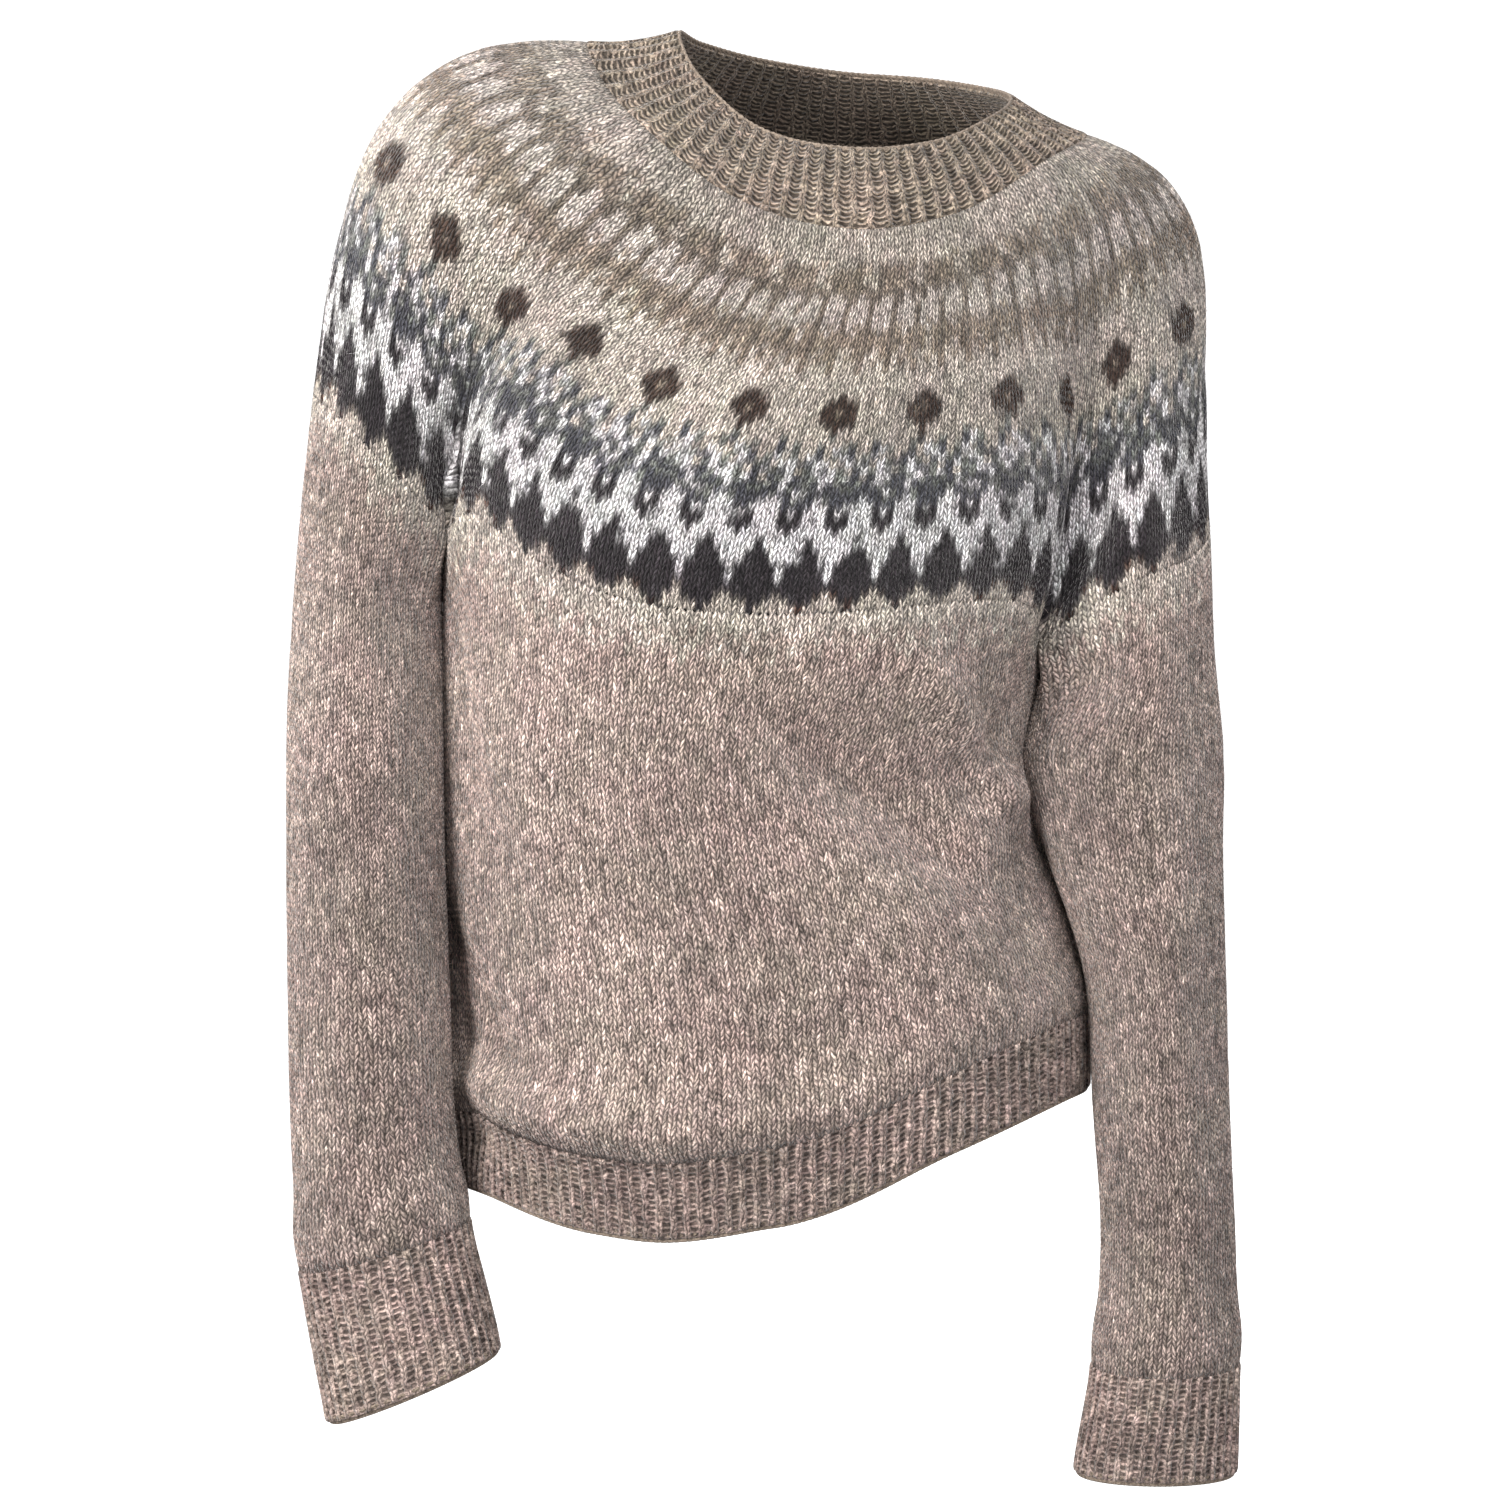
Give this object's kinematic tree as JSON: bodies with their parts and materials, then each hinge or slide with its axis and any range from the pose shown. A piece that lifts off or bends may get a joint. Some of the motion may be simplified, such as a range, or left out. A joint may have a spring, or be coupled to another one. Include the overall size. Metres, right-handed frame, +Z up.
{
  "type": "round yoke sweater",
  "caption": "Hand-knitted wool pullover with a patterned round yoke and ribbed neck, hem and cuffs, in the hollow form it has when worn.",
  "frame": {"origin": "middle of the neck opening, halfway between its two sides at the height of the neckband's edge, where the wearer's shoulders hold the garment", "axes": "+Z up, the front faces -Y, the wearer's left is +X"},
  "size_m": [0.4858, 0.2407, 0.7316],
  "materials": {
    "neckband": "k1 p1 rib, darker taupe heather",
    "yoke": "stranded stocking stitch in greys, browns and white",
    "body": "stocking stitch, light taupe heather",
    "hem_rib": "k1 p1 rib, darker taupe heather",
    "sleeve_right": "stocking stitch, light taupe heather",
    "sleeve_left": "stocking stitch, light taupe heather",
    "cuff_right": "k1 p1 rib, taupe heather",
    "cuff_left": "k1 p1 rib, taupe heather"
  },
  "bodies": {
    "root": {"neckband": "neckband", "yoke": "yoke", "body": "body", "hem_rib": "hem_rib", "sleeve_right": "sleeve_right", "sleeve_left": "sleeve_left", "cuff_right": "cuff_right", "cuff_left": "cuff_left"}
  },
  "joints": []
}
